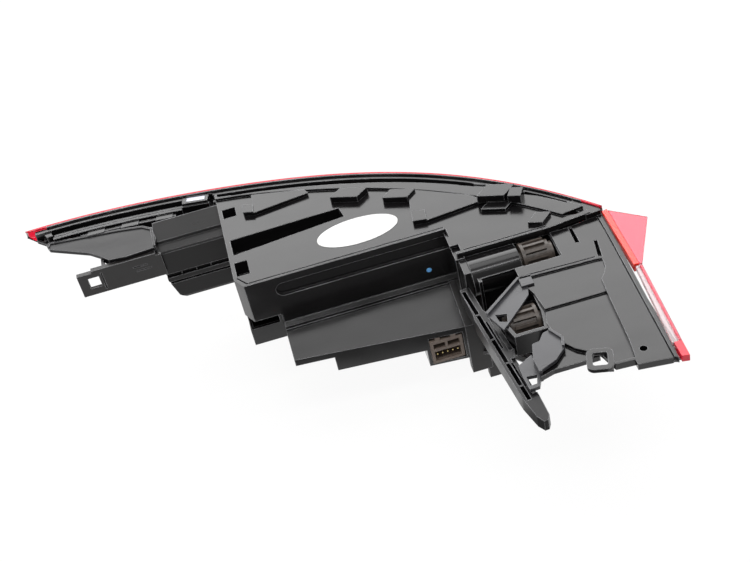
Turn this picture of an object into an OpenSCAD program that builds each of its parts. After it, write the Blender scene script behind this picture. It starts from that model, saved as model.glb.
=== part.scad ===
// Rear lamp cluster of a car, lying lens down, so that its moulded back faces up.
// X runs along the lamp, Y from the near edge to the long curved edge, Z out of the back.
// Lengths are in millimetres. Shapes are drawn about the front edge of the main back
// panel and then moved so that the origin lies on the clip bracket's seating face.

/* [Lens] */
// Wall thickness of the lens
lens_t = 2.6; // [2:0.1:3.5]
// Greatest depth of the lens below the back panel
lens_deep = 118; // [100:1:125]
// Thickness of the clear reversing window's edge strip
clear_lip = 4; // [3:0.5:5]

/* [Housing] */
// Wall thickness of the moulded housing
wall = 2.5; // [2:0.1:3]
// Height of the raised band beside the long edge, above the main panel
band_h = 4; // [3:0.5:6]
// Width of the open channel behind the long edge
channel_w = 4.5; // [3.5:0.5:6]
// Depth of the open channel
channel_d = 6; // [4:0.5:8]
// Drop from the main panel to the first terrace of the right plate
plate_drop = 5; // [4:0.5:7]
// Height of each terrace step on the right plate
terrace = 1.6; // [1:0.2:2.4]
// Depth of the tread of the lower chamber below the main panel
tread_drop = 48; // [44:1:52]

/* [Bulb holders] */
// Radius over the grip ribs of a bulb holder
grip_r = 13; // [12:0.5:13.5]
// Number of grip ribs on a bulb holder
grip_ribs = 14; // [10:1:18]
// Length of the ribbed grip
grip_len = 21; // [18:1:24]

/* [Fixing] */
// Width of the mounting arm
arm_w = 11; // [9:0.5:13]
// Depth of the mounting arm's channel section
arm_h = 13; // [10:0.5:16]
// Side of the square clip hole in the bracket
clip_hole = 9; // [8:0.5:10]

/* [Label] */
// Length of the blank oval label
label_l = 63; // [55:1:70]
// Width of the blank oval label
label_w = 31; // [26:1:34]

/* [Hidden] */
$fn = 48;
// The clip bracket's seating face, which becomes the origin
DATUM = [-170, 80, -21];
X0 = -240;
X1 = 190;

// Smooth curve through hand-set knots [x, value], with the slope carried over each knot
function knot_slope(k, i) =
    let (a = k[max(i - 1, 0)], b = k[min(i + 1, len(k) - 1)]) (b[1] - a[1]) / (b[0] - a[0]);
function knot_at(k, x, i = 0) =
    (i < len(k) - 2 && x > k[i + 1][0]) ? knot_at(k, x, i + 1) :
    let (w = k[i + 1][0] - k[i][0],
         s = min(max((x - k[i][0]) / w, 0), 1),
         m0 = knot_slope(k, i) * w,
         m1 = knot_slope(k, i + 1) * w)
    (2 * s ^ 3 - 3 * s ^ 2 + 1) * k[i][1] + (s ^ 3 - 2 * s ^ 2 + s) * m0
        + (3 * s ^ 2 - 2 * s ^ 3) * k[i + 1][1] + (s ^ 3 - s ^ 2) * m1;

// The long curved edge in plan: one quartic sweep from the thin tip to the broad corner
function far_y(x) =
    let (u = x / 100) 107.9 - 34 * u - 11.5 * u ^ 2 - 3 * u ^ 3 - 0.64 * u ^ 4;
// The near edge of the lens, in plan and in height
NEAR_Y = [[-240, 142], [-222, 129], [-200, 118], [-160, 106], [-112, 98], [-87, 90],
          [-60, 60], [-20, 25], [40, -12], [60, -25], [78, -37], [90, -62], [100, -112],
          [122, -148], [140, -157], [152, -172], [190, -189]];
NEAR_Z = [[-240, -5], [-222, -11], [-200, -14], [-160, -31], [-112, -58], [-87, -66],
          [-60, -74], [-20, -84], [40, -94], [60, -97], [78, -99], [90, -80], [100, -48],
          [122, -17], [140, -13], [152, -12], [190, -9]];
// Depth of the lens below the back at each place along it
DEPTH = [[-240, 6], [-222, 12], [-200, 22], [-160, 44], [-112, 74], [-60, 100],
         [0, 114], [60, 118], [105, 108], [140, 82], [165, 52], [180, 28], [190, 11]];
function near_y(x) = knot_at(NEAR_Y, x);
function near_z(x) = knot_at(NEAR_Z, x);
function depth(x) = knot_at(DEPTH, x) * lens_deep / 118;

// One point of the lens section: v runs from the long edge (0) to the near edge (1)
function bez(a, b, c, d, v) =
    (1 - v) ^ 3 * a + 3 * (1 - v) ^ 2 * v * b + 3 * (1 - v) * v ^ 2 * c + v ^ 3 * d;
function lens_point(x, v, t, top = 0.6) =
    let (yf = far_y(x) - t, yn = near_y(x) + t, zn = near_z(x), w = yf - yn,
         zc = -(depth(x) - t + 0.125 * (zn - 2)) / 0.75,
         zq = min(zc, zn - 0.08 * w),
         near_reach = min(0.95, (zn - zq) / (0.7 * w)))
    [x, bez(yf, yf + 5, yn + near_reach * w, yn, v), bez(top, zq, zq, zn, v)];

// Stations along the lens and places round its section
NU = 34;
NV = 16;
function station(i) = X0 + (X1 - X0) * (i / NU < 0.72 ? i / NU * 0.98 :
    0.7056 + (i / NU - 0.72) * 0.2944 / 0.28);
function inner_x(x) = x + (x < -25 ? 1 : -1) * 2 * min(1, abs(x + 25) / 215);

// Closed skin between an outer and an inner grid, kept only where keep(i, j) is true.
// o and p are the outer and the inner points, row by row.
module skin(o, p, keep) {
    n = NV + 1;
    m = len(o);
    function id(i, j) = i * n + j;
    function k(i, j) = i >= 0 && i < NU && j >= 0 && j < NV && keep[i][j];
    faces = [
        for (i = [0:NU - 1], j = [0:NV - 1]) if (keep[i][j]) each concat(
            [[id(i, j), id(i, j + 1), id(i + 1, j + 1)], [id(i, j), id(i + 1, j + 1), id(i + 1, j)]],
            [[m + id(i, j), m + id(i + 1, j + 1), m + id(i, j + 1)],
             [m + id(i, j), m + id(i + 1, j), m + id(i + 1, j + 1)]],
            k(i - 1, j) ? [] : [[id(i, j), m + id(i, j), m + id(i, j + 1)],
                                [id(i, j), m + id(i, j + 1), id(i, j + 1)]],
            k(i + 1, j) ? [] : [[id(i + 1, j + 1), m + id(i + 1, j + 1), m + id(i + 1, j)],
                                [id(i + 1, j + 1), m + id(i + 1, j), id(i + 1, j)]],
            k(i, j - 1) ? [] : [[id(i + 1, j), m + id(i + 1, j), m + id(i, j)],
                                [id(i + 1, j), m + id(i, j), id(i, j)]],
            k(i, j + 1) ? [] : [[id(i, j + 1), m + id(i, j + 1), m + id(i + 1, j + 1)],
                                [id(i, j + 1), m + id(i + 1, j + 1), id(i + 1, j + 1)]])
    ];
    polyhedron(points = concat(o, p), faces = faces);
}

function lens_grid(t, inner) =
    [for (i = [0:NU], j = [0:NV])
        lens_point(inner ? inner_x(station(i)) : station(i), j / NV, t)];
function bezel_grid(t, inner) =
    [for (i = [0:NU], j = [0:NV])
        lens_point(inner ? inner_x(station(i)) : station(i), j / NV, t, -14)];
// The clear reversing window lies in the right end of the lens
CLEAR_I = 25;
CLEAR_J0 = 6;
CLEAR_J1 = 14;
function is_clear(i, j) = i >= CLEAR_I && j >= CLEAR_J0 && j < CLEAR_J1;

// Plan outline helpers
function inset_far(x, d) = far_y(x) - d;
// How far inside the long edge the raised band ends: it widens towards the corner
function band_in(x) = 17 + max(0, (x + 60) / 14);
function span(a, b, n) = [for (i = [0:n]) a + (b - a) * i / n];
// Polygon moved inwards by t: each corner goes to where the moved edges meet
function unit2(v) = v / norm(v);
function left_of(v) = [-v[1], v[0]];
function inset(p, t) = [for (i = [0:len(p) - 1])
    let (a = p[(i + len(p) - 1) % len(p)], b = p[i], c = p[(i + 1) % len(p)],
         n1 = left_of(unit2(b - a)), n2 = left_of(unit2(c - b)))
    b + (n1 + n2) * t / (1 + n1 * n2)];

// Everything is drawn in panel coordinates and moved so that the origin is the datum
module seat() {
    translate(-DATUM) children();
}

// A box from one corner to the other
module block(a, b) {
    translate([min(a[0], b[0]), min(a[1], b[1]), min(a[2], b[2])])
        cube([abs(b[0] - a[0]), abs(b[1] - a[1]), abs(b[2] - a[2])]);
}

// Flat slab with the outline p, from z0 to z1
module slab(p, z0, z1) {
    translate([0, 0, min(z0, z1)])
        linear_extrude(abs(z1 - z0)) polygon(p);
}

// Slab drawn in the YZ plane and run along X from x0 to x1
module run_x(p, x0, x1) {
    translate([x0, 0, 0]) rotate([90, 0, 90])
        linear_extrude(x1 - x0) polygon(p);
}

// Open-bottomed moulded box: outline p, top at z1, skirt down to z0
module tray(p, z0, z1, t) {
    difference() {
        slab(p, z0, z1);
        slab(inset(p, t), z0 - 1, z1 - t);
    }
}

// Strip between two curves that follow the long edge, d0 and d1 inside it
module far_strip(xa, xb, d0, d1, z0, z1, n = 26) {
    xs = span(xa, xb, n);
    slab(concat([for (x = xs) [x, inset_far(x, d0)]],
                [for (i = [n:-1:0]) [xs[i], inset_far(xs[i], d1)]]), z0, z1);
}

// Strip beside the long edge whose inner side follows band_in()
module band(xa, xb, z1, n) {
    slab(concat([for (x = span(xa, xb, n)) [x, inset_far(x, 11.5)]],
                [for (x = span(min(xb, 160), xa, n)) [x, inset_far(x, band_in(x))]]), -10, z1);
}

module rim_frame() {
    color([0.12, 0.12, 0.125]) seat() difference() {
        union() {
            far_strip(-232, 186, lens_t, lens_t + 4.4, -10, -0.8);
            far_strip(-226, 176, lens_t + 4.4, lens_t + 4.4 + channel_w, -10, -channel_d);
            band(-84, 177, band_h - 2, 24);
            far_strip(-217, -84, 11.5, 13.5, -10, -3, 8);
            // stepped blunt end at the tip
            slab([[-226, 139], [-220, 138], [-218, 131], [-223, 131]], -12, -2);
            // bridge over the channel that frames the window
            slab([[-109, 133], [-88.5, 128.5], [-90.5, 118.5], [-111, 122.5]], -10, -0.6);
            // corner beside the fin
            slab([[174, -10], [185.5, -22], [188, -30], [176, -31], [166, -14]], -10, band_h - 4.5);
        }
        // window for the foam pad near the left end
        translate([-99.5, 125.6, -20]) rotate([0, 0, -12]) cube([15.6, 6, 60], center = true);
        // gap beside the bridge
        slab([[-88.3, 126.4], [-84.9, 125.2], [-87, 112], [-90.5, 113]], -7, 2);
        // shallow relief pockets along the band
        for (x = [-60:34:150]) translate([x, inset_far(x, 14.5), band_h - 2])
            rotate([0, 0, -atan(0.34 + 0.23 * x / 100)]) cube([22, 2.4, 2.4], center = true);
    }
}

PANEL = concat([[-84, 9], [-78, -2], [77, -2], [77, -12], [74.5, -12], [74.5, -23], [81, -23],
                [81, -33.5], [148, -33.5], [178, -29.6]],
               [for (x = span(160, -84, 20)) [x, inset_far(x, band_in(x))]]);

module back_panel() {
    color([0.2, 0.2, 0.21]) seat() difference() {
        union() {
            slab(PANEL, -wall, 0);
            // troughs round the two square holes and the slot
            block([-83, 84.5, -14], [-69, 99.5, 0]);
            block([-83, 10, -14], [-69.4, 29.6, 0]);
            slab([[-83, 36], [10.6, 45.4], [8.4, 60.8], [-83, 58.6]], -16, 0);
            // left end wall, stopping above the recess
            slab([[-84, 9], [-84, 96], [-84 + wall, 96], [-84 + wall, 9]], -33, 0);
            slab([[-84, 9], [-81.5, 10.2], [-76.6, 1], [-78, -2]], -33, 0);
            // front wall with its long recessed groove
            block([-78, -2, -33], [-57, 3, 0]);
            block([-57, -2, -44], [77, 3, 0]);
            // shelf under the front wall
            run_x([[-2.5, -43.6], [-5.5, -46.05], [-5.5, -49], [3, -49], [3, -43.6]], -57, 77);
            // right end wall and the skirt under the right edge
            block([77 - wall, -2, -44], [77, 20, 0]);
            // ceiling of the recess under the left end
            slab([[-84, 9], [-78, -2], [-57, -2], [-57, 20], [-84, 20]], -33 - wall, -33);
            slab([[77, -33.5], [148, -33.5], [180, -29.6], [179, -26], [148, -31], [77, -31]],
                 -plate_drop - 1, 0);
        }
        // groove with a round end, sunk into the front wall
        translate([-50, 0.6, -12.5]) rotate([90, 0, 0]) cylinder(r = 6, h = 6);
        block([-50, -6, -18.5], [78, 0.6, -6.5]);
        // fine groove that leaves a lip along the front edge
        block([-75.6, -0.2, -1], [75.8, 0.9, 1]);
        slab([[-75.6, -0.2], [-81.8, 9.4], [-80.8, 10], [-74.8, 0.9]], -1, 1);
        block([83, -31.6, -1], [146, -30.6, 1]);
        // square holes and the long tapering slot
        block([-81, 86, -12], [-70.5, 98, 2]);
        block([-81, 11.5, -12], [-71, 28, 2]);
        slab([[-80, 37.5], [9, 47], [7, 59], [-80, 57]], -14, 2);
    }
}

// Moulded clip block: a pad with a sheared plan outline
module clip(p, l, w, shear, z0, z1) {
    translate([p[0], p[1], 0])
        slab([[0, 0], [l, -0.42 * l], [l + shear, -0.42 * l + w], [shear, w]], z0, z1);
}

module edge_clips() {
    top = band_h + 1.5;
    color([0.22, 0.22, 0.23]) seat() {
        clip([3, 68], 20, 8, 10, 0, top);
        clip([41, 49], 18, 7.5, 8, 0, top);
        clip([107, 14], 19, 10, 11, band_h - 2, band_h + 5);
        clip([128, 4], 9, 9, 5, band_h - 2, band_h + 5);
        clip([107, 5], 17, 7, 8, 0, band_h - 1);
        clip([134, -25], 10, 9, 9, 0, band_h - 1);
    }
}

// Raised corner platform with its small square pad
module platform(pad, edge, top) {
    slab(edge, 0, top);
    slab(pad, 0, top + 1.2);
}

module back_tabs() {
    color([0.24, 0.24, 0.25]) seat() {
        platform([[-65, 82], [-57, 79.3], [-56, 88.5], [-64.5, 92.5]],
                 [[-57, 79.3], [-12, 85.5], [-14, 91], [-55.5, 103.5]], band_h - 1);
        platform([[56, 12.5], [66.5, 10.5], [68, 22], [57.5, 25]],
                 [[66.5, 10.5], [112, 15.5], [104, 25.5], [62, 54], [57.5, 25]], band_h - 1);
    }
}

// Section of the left chamber: two sloping treads, then the front wall with its grooves
LEFT_SECTION = [[113, -4], [94, -9.4], [93.4, -12], [85.4, -13.8], [84, -15.2], [84, -36],
                [86.6, -36.2], [86.6, -39.4], [84, -39.8], [84, -44], [85.6, -44.2], [85.6, -45.8],
                [84, -46], [84, -60.5], [85, -63], [87, -64.6], [92, -65], [113, -48]];
module left_chamber() {
    color([0.13, 0.125, 0.125]) seat() {
        difference() {
            union() {
                run_x(LEFT_SECTION, -138, -84);
                slab([[-140, 84], [-138, 84], [-138, 108], [-140, 108]], -34, -4);
            }
            run_x([[114, -7.4], [95.4, -12.4], [94.6, -14.6], [89, -16], [89, -40],
                   [114, -40]], -135.5, -86.5);
            run_x([[114, -39], [89, -39], [89, -62], [92, -62.4], [114, -45]], -123, -86.5);
            // the lower left corner is cut back and rounded
            translate([-138, 70, -42]) rotate([0, -16, 0]) translate([-12, 0, -40]) cube([12, 50, 40]);
            translate([-133.1, 70, -59]) rotate([0, -50, 0]) translate([-12, 0, -20]) cube([12, 50, 20]);
        }
        // low ribs in the large groove
        for (x = [-126:12:-92]) block([x, 84.6, -39.4], [x + 0.8, 87, -36]);
    }
}

END_PLAN = [[-224.5, 124.5], [-222.5, 119.5], [-191, 100.5], [-181, 90.5], [-176.5, 84.5],
            [-163, 82.5], [-139, 84], [-137, 96], [-139, 109], [-146, 115], [-166, 119.5],
            [-222.5, 127.5]];
module end_cover() {
    color([0.26, 0.26, 0.27]) seat() {
        tray(END_PLAN, -9, -6, 1.5);
        // raised rim along the long side, turning down the blunt end
        slab([[-222.5, 127.5], [-166, 119.5], [-146, 115], [-139, 109], [-140.6, 107.6], [-147, 113.2],
              [-166.4, 117.6], [-221.4, 125.6], [-222.6, 121.6], [-224.5, 124.5]], -7, -5);
        // fold down at the near edge of the cover
        slab([[-181, 90.5], [-176.5, 84.5], [-163, 82.5], [-139, 84], [-139, 86.5],
              [-163, 85], [-175, 87], [-179.5, 92]], -12, -6);
    }
}

// Ribbed channel between the end cover and the rim
module end_channel() {
    color([0.15, 0.15, 0.155]) seat() {
        far_strip(-198, -84, 13, 27, -14, -11, 10);
        far_strip(-218, -112, 14, 16.4, -11, -3.2, 8);
        far_strip(-196, -118, 18, 20.4, -14, -5, 8);
        // pads that tie the strips together
        for (x = [-188, -160, -132]) slab([[x, inset_far(x, 13)], [x + 13, inset_far(x + 13, 13)],
            [x + 11, inset_far(x + 11, 22)], [x - 3, inset_far(x - 3, 22)]], -12, -4.4);
    }
}

module clip_bracket() {
    color([0.18, 0.175, 0.175]) seat() difference() {
        union() {
            block([-202, 80, -32], [-136, 82.5, -11]);
            // lips along the top and the bottom, and the outer end stop
            block([-192, 80, -12], [-140, 84, -9]);
            block([-204, 80, -14], [-190, 84, -11]);
            block([-202, 82.5, -32], [-140, 84.5, -30]);
            block([-204, 80, -32], [-202, 84, -11]);
            // web that ties the bracket to the cover
            block([-183, 82.5, -30], [-181, 92, -9]);
            block([-165, 82.5, -30], [-163, 92, -9]);
        }
        block([-196.5, 78, -15.5 - clip_hole * 1.1], [-196.5 + clip_hole, 90, -15.5]);
        // shallow grooves that set off the frame of the hole
        block([-185.4, 79, -29], [-184.2, 80.8, -13]);
        block([-160, 79, -17.4], [-149, 80.6, -16.6]);
        block([-158, 79, -21.4], [-146, 80.6, -20.6]);
    }
}

// The lower chamber's tread slopes down towards its front edge
TREAD_Y = -5.5;
tread_fall = 0.34;
function tread_z(y) = -tread_drop + 0.5 + tread_fall * (y - TREAD_Y);
LOWER = [[-57.5, TREAD_Y], [-56.3, -32.5], [22, -39.9], [71, -44.8], [87.3, -44.8], [85, TREAD_Y]];
function lower_y(x) = x < 22 ? -32.5 - (x + 56.3) * 7.4 / 78.3 :
                      x < 71 ? -39.9 - (x - 22) * 4.9 / 49 : -44.8;
// Bays of the lower chamber: from x0 to x1, with the front wall ending at zf. The floor of
// each runs back to yb, or where that is more, to the edge of the lens.
BAYS = [[-57.5, -27.9, -62.7, -4], [-27.9, 40.3, -76.4, -4], [40.3, 71.5, -93, -4],
        [71.5, 87.3, -109.7, -36.5]];
function bay_plan(b, t, back) =
    let (x0 = b[0] + t, x1 = b[1] - t)
    concat([[x0, lower_y(x0) + t]], x0 < 22 && x1 > 22 ? [[22, lower_y(22) + t]] : [],
           [[x1, lower_y(x1) + t]],
           [for (x = span(x1, x0, b[1] > 50 ? 1 : 5)) [x, back > 0 ? 96 :
               b[1] > 50 ? b[3] : max(near_y(x) + 1.5, b[3])]]);
module bay(b) {
    zf = b[2];
    top = tread_z(TREAD_Y);
    yo = lower_y(b[1]) - 1;
    yi = yo + wall + 0.5;
    closed = b[3] < -10;
    difference() {
        intersection() {
            slab(bay_plan(b, 0, 0), -130, -40);
            run_x([[99, top], [TREAD_Y, top], [yo, tread_z(yo)], [yo, zf], [99, zf]], -60, 90);
        }
        intersection() {
            slab(bay_plan(b, wall, closed ? 0 : 1), -130, -40);
            run_x(concat(closed ? [[b[3] - wall, tread_z(b[3] - wall) - wall]] :
                                  [[97, top - wall], [TREAD_Y - 0.4, top - wall]],
                         [[yi, tread_z(yi) - wall], [yi, zf + wall],
                          [closed ? b[3] - wall : 97, zf + wall]]), -60, 90);
        }
    }
}
module open_bay(b) {
    bay(b);
    block([b[0], -8, -tread_drop - wall], [b[1], TREAD_Y + 0.4, -44 - wall]);
}
module left_bay() {
    color([0.24, 0.24, 0.25]) seat() open_bay(BAYS[0]);
}
module middle_bay() {
    color([0.24, 0.24, 0.25]) seat() open_bay(BAYS[1]);
}

// Bay behind the connector, whose mouth opens through its front wall
module connector_bay() {
    color([0.24, 0.24, 0.25]) seat() difference() {
        open_bay(BAYS[2]);
        block([42.9, -60, -91], [68.9, -28, -65.5]);
    }
}

// Tall closed bay beside the plate, with a foot under it and an opening into the lamp
module tall_bay() {
    color([0.24, 0.24, 0.25]) seat() difference() {
        union() {
            bay(BAYS[3]);
            // the tread runs on over the bay, back to the panel
            run_x([[TREAD_Y, tread_z(TREAD_Y)], [-38, tread_z(-38)], [-38, tread_z(-38) - wall],
                   [TREAD_Y, tread_z(TREAD_Y) - wall]], 71.5, 90);
            block([77, -8, -tread_drop - wall], [90, TREAD_Y + 0.4, -44 - wall]);
            block([84.2, -43.8, -121], [94.6, -37.2, -96]);
        }
        block([86.4, -41.8, -122], [92.4, -39.2, -98]);
        block([74.1, -41, -94], [84.7, -30, -66]);
    }
}

// Pocket box, open at the top, beside the lower chamber's thin end
module side_box() {
    color([0.24, 0.24, 0.25]) seat() difference() {
        intersection() {
            run_x([[8, -33], [8, -67], [90, -77], [90, -33]], -83.5, -57.5);
            slab([[-83.5, 8], [-57.5, 8], [-57.5, 61], [-83.5, 88]], -80, -30);
        }
        run_x([[10.5, -30], [10.5, -64.5], [30, -66.9], [30, -30]], -81, -60);
        run_x([[32.5, -36], [32.5, -67.2], [94, -74.6], [94, -36]], -81, -60);
        block([-84, 7, -51], [-60, 20, -30]);
    }
}

PLATE_EDGE = [[180, -187], [170, -184], [157, -184], [157, -179], [144, -178], [139, -162],
              [107, -162], [97, -165]];
module right_plate() {
    z1 = -plate_drop;
    z2 = z1 - terrace;
    z3 = z2 - terrace;
    color([0.23, 0.23, 0.24]) seat() difference() {
        union() {
            // first terrace, beside the main panel, with the raised right margin
            slab([[147, -33.5], [147, -61], [112, -61], [112, -73], [172, -75], [171, -85],
                  [168, -91], [164, -96], [163, -108], [160, -160], [157, -184], [180, -187],
                  [184, -48], [184, -30], [160, -33.5]], z3 - 0.9, z1);
            // floor under the seam beside the panel and the seam beside the outer strip
            slab([[147, -36], [147, -29], [150, -28.4], [169, -25.2], [175, -31.6], [186, -31.6],
                  [186, -36]],
                 z3 - 2.4, z3 - 0.4);
            slab([[183, -31], [183, -48], [179, -187], [181.6, -188], [185.6, -52], [185.6, -31]],
                 z1 - 4, z1 - 2);
            slab([[112, -73], [172, -75], [171, -85], [168, -91], [164, -96], [163, -108],
                  [119, -108], [117, -90]], z2 - wall, z2);
            slab([[119, -108], [164, -108], [161.5, -160], [158.6, -179], [144, -178], [139, -162],
                  [126, -151], [118, -139], [116, -120]], z3 - wall, z3);
            // crescent below the curved seam
            slab([[117, -130], [118, -139], [126, -151], [139, -162], [107, -162], [97, -165]],
                 z3 - 4 - wall, z3 - 2.5);
            // blind bosses under the two slots and the small hole
            slab([[159, -33.5], [165.4, -33.5], [165.4, -55], [158.4, -54]], z1 - 9, z1);
            slab([[171, -53.5], [177.4, -54], [174.6, -76], [168, -75]], z1 - 9, z1);
            translate([165.5, -171.5, z1 - 9]) cylinder(r = 4.6, h = 7);
            // outer strip beside the lens
            slab([[184.6, -30.5], [184.6, -48], [180.6, -187], [183, -189], [188, -52],
                  [188.4, -30.5]], z1 - 4, z1 + 0.8);
            // skirt along the near edge
            slab([[144, -178], [157, -179], [157, -184], [180, -187], [180, -185], [159, -182],
                  [159, -177], [144, -176]], z3 - 2, z1);
        }
        // groove beside the first terrace's lip
        slab([[113, -70.4], [168, -72.2], [168, -73.2], [113, -71.4]], z1 - 1, 1);
        // two narrow slots beside the corner
        slab([[161, -34.5], [163.4, -35.5], [163.4, -53], [160.4, -52]], z1 - 7.5, 2);
        slab([[173, -55.5], [175.4, -56], [172.6, -74], [170, -73]], z1 - 7.5, 2);
        // small hole near the tip corner
        translate([165.5, -171.5, z1 - 7.5]) cylinder(r = 2.6, h = 30);
    }
}

// Hollow sleeve for the upper bulb, closed at the left and open to the holder
module bulb_sleeve() {
    color([0.12, 0.115, 0.12]) seat() difference() {
        union() {
            block([82, -52, -16], [119, -33.5, -plate_drop]);
            translate([82, -44, -17]) rotate([0, 90, 0]) cylinder(r = 14, h = 37);
            block([77, -52, -44], [82, -33.5, -plate_drop]);
            block([75, -36, -44], [82, -1, -plate_drop + 1.5]);
        }
        translate([85, -45, -16]) rotate([0, 90, 0]) cylinder(r = 9.2, h = 40);
        block([90, -51, -40], [113, -39, -16]);
    }
}

// Sunk pocket round the two holders: walls and floor, open towards the back
POCKET = [[86, -100], [92, -124], [116, -124], [119, -106], [119, -54], [85, -54]];
module holder_pocket() {
    color([0.14, 0.13, 0.135]) seat() {
        difference() {
            slab(POCKET, -46, -plate_drop - 4);
            slab(inset(POCKET, wall), -43.5, 1);
            // clear of the lens, whose edge rises towards the near end
            run_x([[-97, -47], [-97, -44.5], [-126, -26], [-126, -47]], 80, 122);
            block([80, -110, -40], [100, -60, 1]);
            translate([110, -101, -22]) rotate([0, 90, 0]) cylinder(r = 8.2, h = 20);
        }
        intersection() {
            slab(POCKET, -47, -plate_drop - 4);
            run_x([[-96.8, -44.2], [-96.8, -42], [-126, -23.5], [-126, -25.8]], 80, 122);
        }
        // well under the upper holder
        difference() {
            block([117, -63, -32], [149, -29.3, -plate_drop - wall]);
            block([119, -60.6, -29.6], [146.6, -31.6, 1]);
            translate([110, -45, -14]) rotate([0, 90, 0]) cylinder(r = 14, h = 10);
        }
        // lip that the first terrace rests on
        block([112, -63, -plate_drop - 4], [147, -61, -plate_drop - wall]);
    }
}

// Mounting arm: a channel section, ribbed across, tapering to a blunt tip
ARM_A = [75, -52];
ARM_B = [89.2, -196];
module mounting_arm() {
    d = ARM_B - ARM_A;
    l = norm(d);
    color([0.19, 0.185, 0.19]) seat() translate([ARM_A[0], ARM_A[1], -18])
        rotate([0, 0, atan2(d[1], d[0])]) {
            difference() {
                union() {
                    slab([[0, -arm_w / 2 + 2], [28, -arm_w / 2 + 1], [34, -arm_w / 2],
                          [l - 26, -arm_w / 2], [l - 6, -arm_w / 2 + 2], [l, -1], [l, 2],
                          [l - 4, arm_w / 2 - 1], [l - 22, arm_w / 2], [80, arm_w / 2],
                          [74, arm_w / 2 + 2.5], [36, arm_w / 2 + 2], [28, arm_w / 2 - 2],
                          [0, arm_w / 2 - 2]], -arm_h, 0);
                }
                // long groove beside the left edge, crossed by ribs, and a lower right side
                for (c = [[3, 30], [31.4, 58], [59.4, 84], [85.4, 108], [109.4, l - 22]])
                    block([c[0], -arm_w / 2 + 2.4, -arm_h + 3], [c[1], -arm_w / 2 + 5.2, 1]);
                block([36, arm_w / 2 - 1.4, -2.6], [74, arm_w / 2 + 4, 1]);
                block([82, arm_w / 2 - 3.4, -2.2], [l - 26, arm_w / 2 + 4, 1]);
                for (c = [[40, 70], [86, l - 34]])
                    block([c[0], 0.4, -6], [c[1], 1.8, 1]);
                // the lower edge rises towards the tip
                translate([l - 40, -20, -arm_h - 1]) rotate([0, -7, 0])
                    translate([0, 0, -10]) cube([60, 40, 10]);
            }
            // thin stiffening web under the channel
            block([10, -1.2, -arm_h - 9], [l - 44, 1.2, -arm_h]);
        }
}

// Upper strap: a plate from the arm to the plate's edge, with an opening at the arm's end
module upper_strap() {
    color([0.33, 0.33, 0.34]) seat() {
        difference() {
            slab([[81, -98.5], [112, -72], [118.5, -70], [113, -89], [104.5, -98], [87, -116]], -8.8, -7);
            slab([[85.6, -99.5], [93.5, -101.5], [91.5, -109.5], [86.5, -107]], -11, -6);
        }
        // raised flange along its far edge, and the foot that overlaps the plate
        slab([[81, -98.5], [112, -72], [110.8, -70.6], [79.8, -97]], -8.8, -4.4);
        block([111, -81, -9], [120, -71, -5]);
    }
}

// Lower strap: a face plate, a web and a lower leg with an opening
module lower_strap() {
    color([0.36, 0.36, 0.37]) seat() {
        slab([[96.5, -151], [100.3, -137], [105.8, -136], [110.3, -129.5], [115.5, -128],
              [121.5, -140], [119.5, -148], [110.5, -157], [97, -163]], -10, -7);
        slab([[115.5, -128], [121.5, -140], [119.5, -148], [117.9, -147.3], [119.6, -140.2],
              [114.2, -129.2]], -8, -5.2);
        slab([[96.5, -151], [100.3, -137], [102, -137.6], [98.4, -151.2], [98.9, -163], [97, -163]],
             -17, -7);
        difference() {
            slab([[87, -146], [98.2, -139.3], [99, -159.3], [94.6, -169], [87.5, -169.6], [86.7, -158]],
                 -17, -14);
            slab([[88.8, -157.6], [96, -158.6], [93.6, -166.2], [89.2, -166.6]], -18, -13);
        }
    }
}

// Oblong locating loop that hangs over the near edge of the plate
module locating_loop() {
    color([0.3, 0.3, 0.31]) seat() translate([136.5, -169.5, -8]) rotate([0, 0, -16])
        difference() {
            union() {
                for (x = [-4, 4], y = [-4.9, 4.9]) translate([x, y, 0]) cylinder(r = 4.9, h = 3);
                block([-8.9, -4.9, 0], [8.9, 4.9, 3]);
                block([-4, -9.8, 0], [4, 9.8, 3]);
                block([5.2, -6, -4], [8.2, 7, 3]);
            }
            block([-4.9, -4.4, -6], [4.9, 4.4, 6]);
            block([-3.4, -5.9, -6], [3.4, 5.9, 6]);
            for (x = [-3.4, 3.4], y = [-4.4, 4.4]) translate([x, y, -6]) cylinder(r = 1.5, h = 12);
        }
}

module lens_red() {
    keep = [for (i = [0:NU - 1]) [for (j = [0:NV - 1]) !is_clear(i, j)]];
    color([0.75, 0.06, 0.1, 0.75]) seat() {
        skin(lens_grid(0, false), lens_grid(lens_t, true), keep);
        // edge strip that shows beside the plate, and the small red tip
        slab([[189.6, -31], [192.2, -29.6], [191.6, -96], [189, -96]], -8, -1.4);
        slab([[191.4, -97], [193.8, -96], [189.8, -177], [187.6, -177]], -5, -1.6);
        slab([[184.2, -177], [189.8, -177], [189.2, -192], [184, -191]], -7, -1.6);
    }
}

module lens_clear() {
    keep = [for (i = [0:NU - 1]) [for (j = [0:NV - 1]) is_clear(i, j)]];
    color([0.95, 0.93, 0.93, 0.6]) seat() {
        skin(lens_grid(0, false), lens_grid(lens_t, true), keep);
        slab([[188.8, -97], [191.4, -97], [187.6, -177], [183.6, -177]], -2 - clear_lip, -2);
    }
}

// Raised aero fin at the broad corner
module lens_fin() {
    color([1, 0.5, 0.5, 0.7]) seat() {
        slab([[192.2, -29.6], [216, -50], [194, -96], [191.6, -96]], -4, -1.6);
    }
}

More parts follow.
